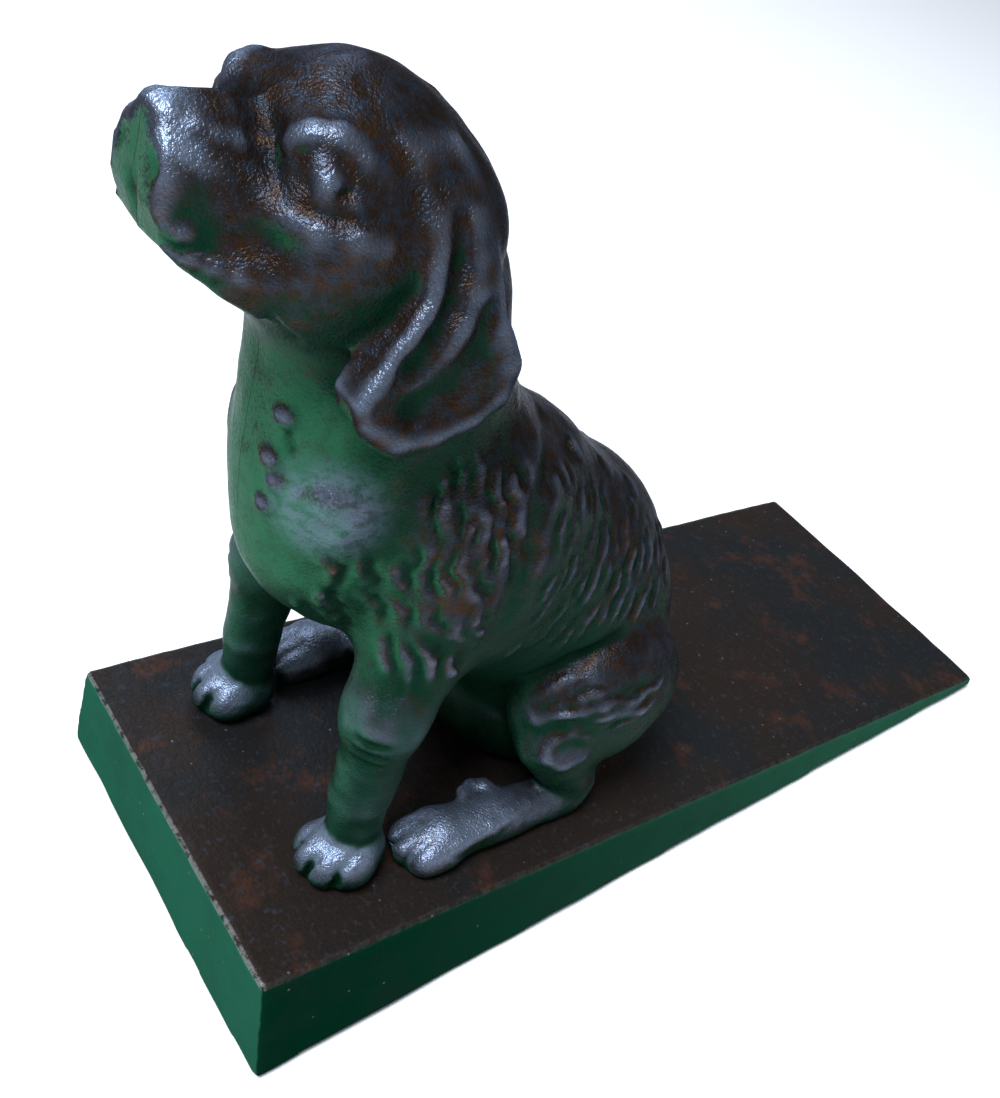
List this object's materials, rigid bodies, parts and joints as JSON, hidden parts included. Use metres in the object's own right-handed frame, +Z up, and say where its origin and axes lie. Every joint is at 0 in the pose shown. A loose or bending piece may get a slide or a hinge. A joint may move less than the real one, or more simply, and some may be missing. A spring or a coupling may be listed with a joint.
{
  "type": "door wedge with animal figure",
  "caption": "Cast-iron door wedge with a hollow seated hound on its thick end, made as two halves screwed together and to the wedge.",
  "frame": {"origin": "centre of the rubber sole's underside, on the floor", "axes": "+Z up, -Y the way the hound faces and the wedge's thick end, +X the hound's left"},
  "size_m": [0.0608, 0.1554, 0.1168],
  "materials": {
    "figure_iron": "sand-cast iron with a dark brown-black patina, green in the shaded faces and worn bright on the ridges",
    "wedge_iron": "sand-cast iron, blue-black with rust-brown patches and worn edges",
    "screw_steel": "plain turned steel, dulled",
    "sole_rubber": "matt black sheet rubber"
  },
  "bodies": {
    "root": {"wedge_base": "wedge_iron", "sole_pad": "sole_rubber", "figure_left": "figure_iron", "figure_right": "figure_iron", "cross_screw": "screw_steel", "base_screw_left": "screw_steel", "base_screw_right": "screw_steel", "base_washer_left": "screw_steel", "base_washer_right": "screw_steel"}
  },
  "joints": []
}
